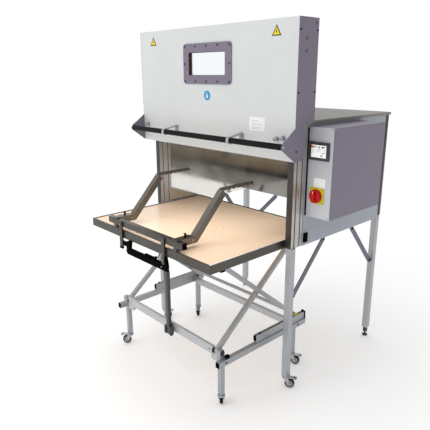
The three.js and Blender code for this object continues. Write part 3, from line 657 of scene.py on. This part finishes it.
class OVEN_OT_cabinet(OvenOperator):
    """The control cabinet's touch screen with its icons, the cover screws, the switch's label and the seal at
    the cover's edge
    """
    bl_idname = "oven.cabinet"
    bl_label = "Control cabinet"

    def execute(self, context):
        low, high = (Vector(corner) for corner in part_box("screen_panel"))
        centre = (low + high) / 2
        floor_y = low.y + 0.001
        width, height = (high.x - low.x) / MM - 41, (high.z - low.z) / MM - 33
        on_screen = face_plane(Vector((centre.x, floor_y, centre.z)))
        bm = bmesh.new()
        outline_into(bm, rounded(width, height, 1.5), 0.5, on_screen)
        piece("screen_glass", bm, material_for("lit_display"), "oven")
        icons = {
            "vinyl_orange": [(-40, 24, 20, 12)],
            "vinyl_black": [(-20, 24, 14, 4), (2, 23, 9, 9), (26, 24, 16, 8), (40, 24, 5, 8), (2, 7, 7, 4),
                            (30, -10, 9, 6)],
            "moulded_red": [(38, 8, 6, 6), (38, -6, 6, 6), (20, -24, 16, 6)],
            "vinyl_grey": [(-42, 8, 5, 5), (-30, 8, 9, 2), (-42, -2, 5, 5), (-30, -2, 9, 2), (-42, -12, 5, 5),
                           (-5, 8, 12, 2), (-5, -2, 12, 2), (16, 8, 8, 2), (16, -2, 8, 2)],
        }
        for material, blocks in icons.items():
            bm = bmesh.new()
            for x, z, w, h in blocks:
                outline_into(bm, rectangle(x, z, w, h), 0.7, on_screen)
            piece(f"screen_{material}", bm, material_for(material), "oven")

        cover_low, cover_high = (Vector(corner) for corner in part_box("cabinet_front"))
        places = [Vector((x, cover_low.y, z)) for x in (cover_low.x + 0.008, cover_high.x - 0.008)
                  for z in (cover_low.z + 0.01, cover_high.z - 0.01)]
        screws("cabinet_screws", places, (0, -1, 0), 4, 2.4, "zinc_plated_steel", "oven")
        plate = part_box("switch_plate")
        bm = bmesh.new()
        label = face_plane(Vector((middle("switch_plate").x + 0.012, cover_low.y, plate[1][2] + 0.030)))
        outline_into(bm, rounded(78, 52, 2), 0.28, label)
        piece("switch_label", bm, material_for("vinyl_white"), "oven")
        bm = bmesh.new()
        seal_low = (cover_low.x + 0.0002, cover_low.y - 0.0075, cover_low.z + 0.004)
        seal_high = (cover_low.x + 0.007, cover_low.y - 0.0003, cover_high.z - 0.004)
        box_into(bm, seal_low, seal_high, 0.002)
        piece("cover_edge_seal", bm, material_for("moulded_black"), "oven")
        return {"FINISHED"}


class OVEN_OT_switch(OvenOperator):
    """The rotary main switch on its yellow plate"""
    bl_idname = "oven.switch"
    bl_label = "Main switch"

    def execute(self, context):
        low, high = (Vector(corner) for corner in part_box("switch_knob"))
        plate_low = Vector(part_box("switch_plate")[0])
        centre = middle("switch_plate")
        radius = (high.z - low.z) / 2 / MM
        seat = plate_low.y - 0.0003
        bm = bmesh.new()
        disc = [(0, 0), (radius, 0), (radius, 12), (radius - 2.5, 17), (radius - 8, 20), (0, 20)]
        lathe_into(bm, disc, Vector((centre.x, seat, centre.z)), (0, -1, 0), 48)
        for i in range(24):
            angle = 2 * math.pi * i / 24
            reach = (radius - 0.8) * MM
            rib = Vector((centre.x + math.cos(angle) * reach, seat, centre.z + math.sin(angle) * reach))
            lathe_into(bm, [(0, 1), (1.6, 1), (1.6, 12), (0, 13)], rib, (0, -1, 0), 8)
        half = (radius - 5) * MM
        box_into(bm, (centre.x - 0.0095, seat - 0.0345, centre.z - half),
                 (centre.x + 0.0095, seat - 0.019, centre.z + half), 0.003)
        knob = piece("switch_rotary_knob", bm, material_for("moulded_red"), "switch")
        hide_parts("switch_knob")
        bm = bmesh.new()
        outline_into(bm, rounded(2.6, 14, 1), 0.5,
                     face_plane(Vector((centre.x, seat - 0.0345, centre.z + (radius - 16) * MM))))
        piece("switch_pointer", bm, material_for("vinyl_white"), "switch")
        inset = 0.038
        corners = [Vector((centre.x + dx, plate_low.y, centre.z + dz))
                   for dx in (-inset, inset) for dz in (-inset, inset)]
        screws("switch_screws", corners, (0, -1, 0), 3.2, 1.6, "vinyl_black", "oven")
        return {"FINISHED"}


class OVEN_OT_casters(OvenOperator):
    """Treaded wheels, swivel races and brake pedals"""
    bl_idname = "oven.casters"
    bl_label = "Casters"

    def execute(self, context):
        joints = {joint["name"]: joint for joint in frame["joints"]}
        for place in CASTERS:
            roll, swivel = joints[f"roll_{place}"], joints[f"swivel_{place}"]
            hub, axis = Vector(roll["pos_m"]), Vector(roll["axis"])
            radius = hub.z / MM - 0.1
            bm = bmesh.new()
            tread = [(radius - 8, -10), (radius - 3, -10), (radius - 0.8, -8), (radius, -4), (radius, 4),
                     (radius - 0.8, 8), (radius - 3, 10), (radius - 8, 10), (radius - 8, -10)]
            lathe_into(bm, tread, hub, axis, 48)
            wheel = piece(f"tread_{place}", bm, material_for("polyurethane_tread"), f"wheel_{place}")
            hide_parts(f"caster_wheel_{place}")
            bm = bmesh.new()
            core = [(5, -11), (9, -11), (10, -8.5), (17, -7), (radius - 10, -8.5), (radius - 8.2, -9.5),
                    (radius - 8.2, 9.5), (radius - 10, 8.5), (17, 7), (10, 8.5), (9, 11), (5, 11), (5, -11)]
            lathe_into(bm, core, hub, axis, 48)
            piece(f"hub_{place}", bm, material_for("moulded_mid_grey"), f"wheel_{place}")

            fork = f"fork_{place}"
            top = Vector((*swivel["pos_m"][:2], hub.z + 0.036))
            bm = bmesh.new()
            race = [(0, 0), (21, 0), (24.5, 2), (24.5, 8), (21, 10.5), (0, 10.5)]
            lathe_into(bm, race, top, (0, 0, 1), 40)
            for end in (-1, 1):
                hex_bolt_into(bm, hub + axis * end * 0.0158, axis * end, 8, 3.5)
            piece(f"swivel_race_{place}", bm, material_for("zinc_plated_steel"), fork)
            away = Vector((hub.x - top.x, hub.y - top.y, 0)).normalized()
            pedal = top + away * 0.062 + Vector((0, 0, 0.004))
            turn = Matrix((away, axis.normalized(), Vector((0, 0, 1)))).transposed().to_4x4()
            bm = bmesh.new()
            half = Vector((0.011, 0.017, 0.004))
            box_into(bm, pedal - half, pedal + half, 0.002, turn)
            piece(f"brake_pedal_{place}", bm, material_for("zinc_plated_steel"), fork)
        return {"FINISHED"}


class OVEN_OT_cart(OvenOperator):
    """End caps, pivot bosses, studs and yellow stops of the loading cart"""
    bl_idname = "oven.cart"
    bl_label = "Loading cart"

    def execute(self, context):
        caps = bmesh.new()
        nuts = bmesh.new()
        stops = bmesh.new()
        for side, sign in (("left", -1), ("right", 1)):
            low, high = (Vector(corner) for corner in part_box(f"cart_side_{side}"))
            outer = low.x if side == "left" else high.x
            rail = sorted((outer, outer - sign * 0.030))
            rail_end = (rail[0] + 0.0005, low.y - 0.004, 0.3015), (rail[1] - 0.0005, low.y - 0.0002, 0.336)
            box_into(caps, *rail_end, 0.0012)
            track = sorted((outer - sign * 0.0085, outer - sign * 0.0295))
            track_end = (track[0], behind(-154), 0.352), (track[1], behind(-150.2), 0.386)
            box_into(caps, *track_end, 0.001)
            stop = (track[0] + 0.002, behind(232), 0.3885), (track[1] - 0.002, behind(262), 0.398)
            box_into(stops, *stop, 0.002)
            stud = Vector((sum(rail) / 2, behind(322), 0.3884))
            lathe_into(caps, [(0, 0), (9, 0), (10, 3), (10, 9), (7, 13), (0, 14)], stud, (0, 0, 1), 24)
            stud.y = behind(-112)
            lathe_into(caps, [(0, 0), (6, 0), (6, 7), (4, 9), (0, 9)], stud, (0, 0, 1), 20)
            pivot = Vector((outer - sign * 0.0262, behind(-425), 0.374))
            lathe_into(caps, [(0, 0), (17, 0), (17, 2.5), (0, 2.5)], pivot, (sign, 0, 0), 28)
            boss = [(0, 2.5), (14, 2.5), (14, 6), (8, 7), (8, 11), (5, 13), (0, 13)]
            lathe_into(nuts, boss, pivot, (sign, 0, 0), 28)
            arm = sorted((outer - sign * 0.0862, outer - sign * 0.0942))
            arm_end = (arm[0], pivot.y - 0.022, 0.362), (arm[1], pivot.y + 0.006, 0.386)
            box_into(caps, *arm_end, 0.003)
            rest = (rail[0] + 0.004, pivot.y + 0.018, 0.3375), (rail[1] - 0.004, pivot.y + 0.042, 0.356)
            box_into(caps, *rest, 0.003)
            box_into(nuts, (rail[0], high.y + 0.0003, 0.300), (rail[1], high.y + 0.003, 0.392), 0.0008)
            for y in (-416, 260):
                head = Vector((outer + sign * 0.0001, behind(y), 0.319))
                hex_bolt_into(nuts, head, (sign, 0, 0), 9, 4)
        piece("cart_end_caps", caps, material_for("moulded_black"), "cart")
        piece("cart_pivot_bolts", nuts, material_for("blackened_steel"), "cart")
        piece("cart_stops", stops, material_for("moulded_yellow"), "cart")
        rail_low, rail_high = (Vector(corner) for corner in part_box("cart_front_rail"))
        places = [Vector((x, rail_low.y, rail_high.z - 0.03))
                  for x in (rail_low.x + 0.06, rail_high.x - 0.06)]
        bolts("front_rail_bolts", places, (0, -1, 0), 10, 4, "zinc_plated_steel", "cart")
        return {"FINISHED"}


class OVEN_OT_scissor(OvenOperator):
    """The crossing bolts of the scissor arms and the gas spring's collar"""
    bl_idname = "oven.scissor"
    bl_label = "Scissor lift"

    def execute(self, context):
        low, high = (Vector(corner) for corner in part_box("scissor_front_arms"))
        cross_y, cross_z = (low.y + high.y) / 2, (low.z + high.z) / 2
        places = {-1: low.x, 1: high.x}
        bm = bmesh.new()
        for sign, x in places.items():
            lathe_into(bm, [(0, 0), (12, 0), (12, 2), (7, 2), (7, 6), (5, 7), (0, 7)],
                       Vector((x - sign * 0.0252, cross_y, cross_z)), (-sign, 0, 0), 24)
        piece("scissor_cross_bolts", bm, material_for("zinc_plated_steel"), "front_arms")
        rod_low, rod_high = (Vector(corner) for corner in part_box("gas_spring_rod"))
        centre = (rod_low + rod_high) / 2
        bm = bmesh.new()
        collar = [(8, 0), (14, 0), (14, 3), (12, 5), (12, 16), (8, 18), (8, 0)]
        tube_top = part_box("gas_spring_cylinder")[1][2]
        lathe_into(bm, collar, Vector((centre.x, centre.y, tube_top + 0.0004)), (0, 0, 1), 32)
        piece("gas_spring_collar", bm, material_for("moulded_black"), "cart")
        return {"FINISHED"}


class OVEN_OT_table(OvenOperator):
    """Bolts, pins and end caps of the table's arms and crossbar, near-white strips along its rim painted as a
    highlight, and the rim's pads
    """
    bl_idname = "oven.table"
    bl_label = "Loading table"

    def execute(self, context):
        low, high = (Vector(corner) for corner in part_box("arm_crossbar"))
        bar_low = 1.026
        caps = bmesh.new()
        for x, sign in ((low.x, -1), (high.x, 1)):
            span = sorted((x, x + sign * 0.003))
            cap_low = (span[0], behind(-598.5), bar_low + 0.002)
            cap_high = (span[1], behind(-567.5), high.z - 0.002)
            box_into(caps, cap_low, cap_high, 0.001)
        piece("crossbar_caps", caps, material_for("moulded_black"), "table")
        pins = bmesh.new()
        heads = bmesh.new()
        for side in ("left", "right"):
            arm_low, arm_high = (Vector(corner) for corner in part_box(f"support_arm_{side}"))
            x = (arm_low.x + arm_high.x) / 2
            foot = Vector((x, behind(-520), 1.0701))
            pin = [(0, 0), (6, 0), (6, 14), (8, 15), (8, 22), (5, 24), (0, 24)]
            lathe_into(pins, pin, foot, (0, 0, 1), 24)
            for sign in (-1, 1):
                head = Vector((x + sign * 0.0201, behind(-480), 1.046))
                hex_bolt_into(heads, head, (sign, 0, 0), 8, 3)
        for at in (432, 878):
            for z in (0.925, 0.965, 1.040):
                hex_bolt_into(heads, spot(at, -609.1, z / MM), (0, -1, 0), 7, 3)
        foot = spot(432, -603, 880)
        box_into(pins, foot - Vector((0.0165, 0.008, 0)), foot + Vector((0.0165, 0.0045, 0.0158)), 0.002)
        piece("arm_pins", pins, material_for("moulded_black"), "table")
        piece("strap_bolts", heads, material_for("zinc_plated_steel"), "table")

        frame_low, frame_high = (Vector(corner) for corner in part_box("table_frame"))
        # Painted highlight: near-white strips along the tops of the rim's sides stand in for the light caught
        # by its edges.
        bead = bmesh.new()
        inner, outer = 0.0012, 0.0078
        left = (frame_low.x + inner, frame_low.x + outer)
        right = (frame_high.x - outer, frame_high.x - inner)
        for x0, x1 in (left, right):
            bead_low = (x0, frame_low.y + inner, frame_high.z + 0.0001)
            bead_high = (x1, frame_high.y - inner, frame_high.z + 0.0011)
            box_into(bead, bead_low, bead_high, 0.0004)
        piece("rim_painted_highlight", bead, material_for("painted_highlight_edge"), "table")
        pads = bmesh.new()
        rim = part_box("table_board")
        for x in (rim[0][0] + 0.004, rim[1][0] - 0.004):
            for y in (frame_low.y + 0.10, frame_high.y - 0.06):
                box_into(pads, (x - 0.009, y - 0.016, 0.9365), (x + 0.009, y + 0.016, 0.9498), 0.002)
        piece("rim_pads", pads, material_for("moulded_black"), "table")
        grip_low, grip_high = (Vector(corner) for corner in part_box("push_handle"))
        places = [Vector((x, grip_low.y, 0.882)) for x in (grip_low.x + 0.045, grip_high.x - 0.045)]
        screws("push_handle_screws", places, (0, -1, 0), 4.5, 3, "zinc_plated_steel", "table")
        return {"FINISHED"}


class OVEN_OT_stand(OvenOperator):
    """Brace bolts, post foot blocks and caps of the stand"""
    bl_idname = "oven.stand"
    bl_label = "Stand"

    def execute(self, context):
        heads = bmesh.new()
        for node, sign in (("brace_right_rear", 1), ("brace_right_front", 1), ("brace_left_rear", -1)):
            low, high = (Vector(corner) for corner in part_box(node))
            x = high.x if sign > 0 else low.x
            wide = 0.017
            rear = "rear" in node
            foot_y, head_y = (high.y - wide, low.y + wide) if rear else (low.y + wide, high.y - wide)
            hex_bolt_into(heads, (x, foot_y, low.z + wide), (sign, 0, 0), 11, 6)
            hex_bolt_into(heads, (x, head_y, high.z - wide), (sign, 0, 0), 11, 6)
        piece("brace_bolts", heads, material_for("moulded_black"), "oven")
        blocks = bmesh.new()
        low, high = (Vector(corner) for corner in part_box("base_frame"))
        for side, sign in (("left", -1), ("right", 1)):
            x = low.x if sign < 0 else high.x
            span = sorted((x + sign * 0.0002, x + sign * 0.010))
            y0 = behind(106)
            box_into(blocks, (span[0], y0, 0.976), (span[1], y0 + 0.036, 1.034), 0.002)
            for z in (0.99, 1.02):
                hex_bolt_into(blocks, (x + sign * 0.010, y0 + 0.018, z), (sign, 0, 0), 8, 4)
        piece("post_foot_blocks", blocks, material_for("moulded_black"), "oven")
        lids = bmesh.new()
        for side in ("left", "right"):
            low, high = (Vector(corner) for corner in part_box(f"door_post_{side}"))
            lid_low = (low.x + 0.001, low.y + 0.001, high.z + 0.0002)
            lid_high = (high.x - 0.001, high.y - 0.001, high.z + 0.003)
            box_into(lids, lid_low, lid_high, 0.001)
        piece("post_caps", lids, material_for("moulded_black"), "oven")
        corner_low, corner_high = (Vector(corner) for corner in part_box("casing"))
        trims = bmesh.new()
        for x, sign in ((corner_low.x, -1), (corner_high.x, 1)):
            side = sorted((x + sign * 0.0003, x + sign * 0.003))
            trim_low = (side[0], corner_high.y - 0.028, corner_low.z - 0.08)
            trim_high = (side[1], corner_high.y + 0.002, corner_high.z - 0.002)
            box_into(trims, trim_low, trim_high, 0.0006)
        piece("rear_corner_trims", trims, material_for("blackened_steel"), "oven")
        return {"FINISHED"}


PIECES = [
    OVEN_OT_stage, OVEN_OT_finishes, OVEN_OT_window, OVEN_OT_door_marks, OVEN_OT_door_hardware,
    OVEN_OT_handle, OVEN_OT_cabinet, OVEN_OT_switch, OVEN_OT_casters, OVEN_OT_cart, OVEN_OT_scissor,
    OVEN_OT_table, OVEN_OT_stand,
]


class OVEN_PT_panel(bpy.types.Panel):
    """The oven's pieces, in the order in which they are made"""
    bl_idname = "OVEN_PT_panel"
    bl_label = "Lift-door oven"
    bl_space_type = "VIEW_3D"
    bl_region_type = "UI"
    bl_category = "Oven"

    def draw(self, context):
        for operator in PIECES:
            self.layout.operator(operator.bl_idname)
        for name in ("edge", "screw_radius", "floor_size", "lens"):
            self.layout.prop(context.scene.oven_settings, name)


def register():
    for cls in [OvenSettings, *PIECES, OVEN_PT_panel]:
        bpy.utils.register_class(cls)
    bpy.types.Scene.oven_settings = bpy.props.PointerProperty(type=OvenSettings)


def unregister():
    del bpy.types.Scene.oven_settings
    for cls in reversed([OvenSettings, *PIECES, OVEN_PT_panel]):
        bpy.utils.unregister_class(cls)


def main():
    register()
    for operator in PIECES:
        group, name = operator.bl_idname.split(".")
        result = getattr(getattr(bpy.ops, group), name)()
        if result != {"FINISHED"}:
            raise RuntimeError(f"{operator.bl_label} was not made")


if __name__ == "__main__":
    main()
